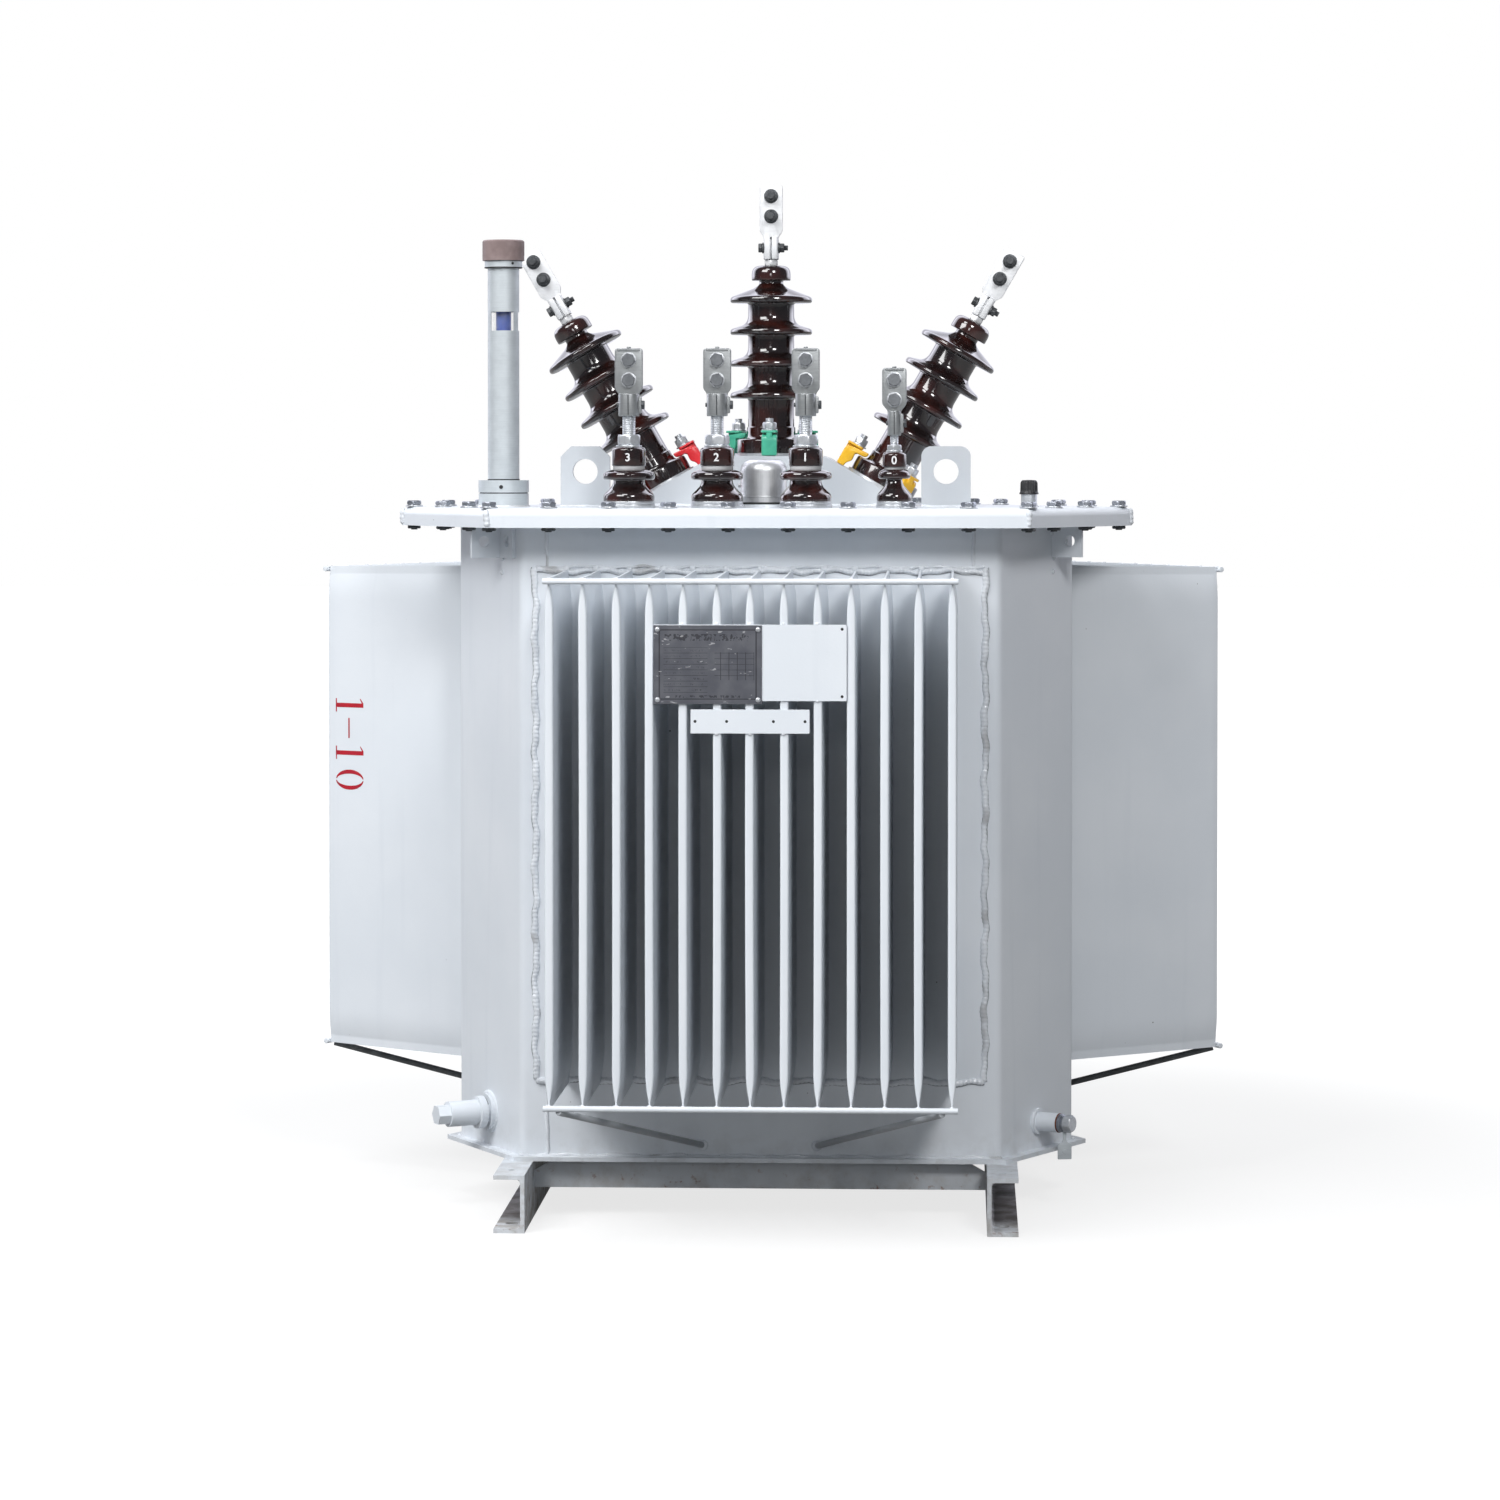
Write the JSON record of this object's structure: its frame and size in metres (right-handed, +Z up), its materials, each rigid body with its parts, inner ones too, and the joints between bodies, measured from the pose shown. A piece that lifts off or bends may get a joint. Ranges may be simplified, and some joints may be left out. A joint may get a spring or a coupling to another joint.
{
  "type": "power transformer",
  "caption": "Oil-filled three-phase distribution transformer with a three-sided finned tank, fanned high-voltage bushings and a row of low-voltage bushings.",
  "frame": {"origin": "ground level on the tank's vertical axis, at the centre of the foot bolts", "axes": "+Z up; the low-voltage side with the plates faces -Y; +X to the right from there"},
  "size_m": [1.3418, 1.162, 1.4714],
  "materials": {
    "tank_paint": "satin",
    "porcelain": "gloss",
    "zinc": "satin",
    "terminal_alloy": "satin",
    "stainless": "polished",
    "black_rubber": "matte",
    "claw_red": "gloss",
    "claw_green": "gloss",
    "claw_yellow": "gloss",
    "gauge_alloy": "satin",
    "gauge_glass": "gloss",
    "float_blue": "gloss",
    "cap_brown": "matte",
    "cap_black": "matte",
    "plate_alloy": "satin"
  },
  "bodies": {
    "root": {"base_plate": "tank_paint", "breather_cap": "cap_black", "breather_neck": "zinc", "cover": "tank_paint", "cover_gasket": "black_rubber", "drain_plug": "tank_paint", "drain_stub": "tank_paint", "earth_bolt": "zinc", "earth_boss": "tank_paint", "front_cross_member": "tank_paint", "front_fin_bars": "tank_paint", "front_fin_panel": "tank_paint", "gauge_body": "gauge_alloy", "gauge_cap": "cap_brown", "gauge_float": "float_blue", "gauge_glass": "gauge_glass", "hv_bushing_left": "porcelain", "hv_bushing_middle": "porcelain", "hv_bushing_right": "porcelain", "hv_claws_left": "claw_red", "hv_claws_middle": "claw_green", "hv_claws_right": "claw_yellow", "hv_rings": "zinc", "hv_terminal_left": "terminal_alloy", "hv_terminal_middle": "terminal_alloy", "hv_terminal_right": "terminal_alloy", "hv_turret": "tank_paint", "left_fin_bars": "tank_paint", "left_fin_panel": "tank_paint", "left_lifting_lug": "tank_paint", "left_skid": "tank_paint", "lv_bushing_neutral": "porcelain", "lv_bushing_phase_1": "porcelain", "lv_bushing_phase_2": "porcelain", "lv_bushing_phase_3": "porcelain", "lv_rings": "zinc", "lv_studs": "zinc", "lv_terminal_neutral": "terminal_alloy", "lv_terminal_phase_1": "terminal_alloy", "lv_terminal_phase_2": "terminal_alloy", "lv_terminal_phase_3": "terminal_alloy", "number_plate": "plate_alloy", "plate_carrier": "tank_paint", "rating_plate": "plate_alloy", "rear_cross_member": "tank_paint", "rear_lifting_lug": "tank_paint", "relief_gasket": "black_rubber", "relief_pad": "tank_paint", "relief_valve": "stainless", "right_fin_bars": "tank_paint", "right_fin_panel": "tank_paint", "right_lifting_lug": "tank_paint", "right_skid": "tank_paint", "tank_flange": "tank_paint", "tank_lugs": "tank_paint", "tank_wall": "tank_paint"}
  },
  "joints": []
}
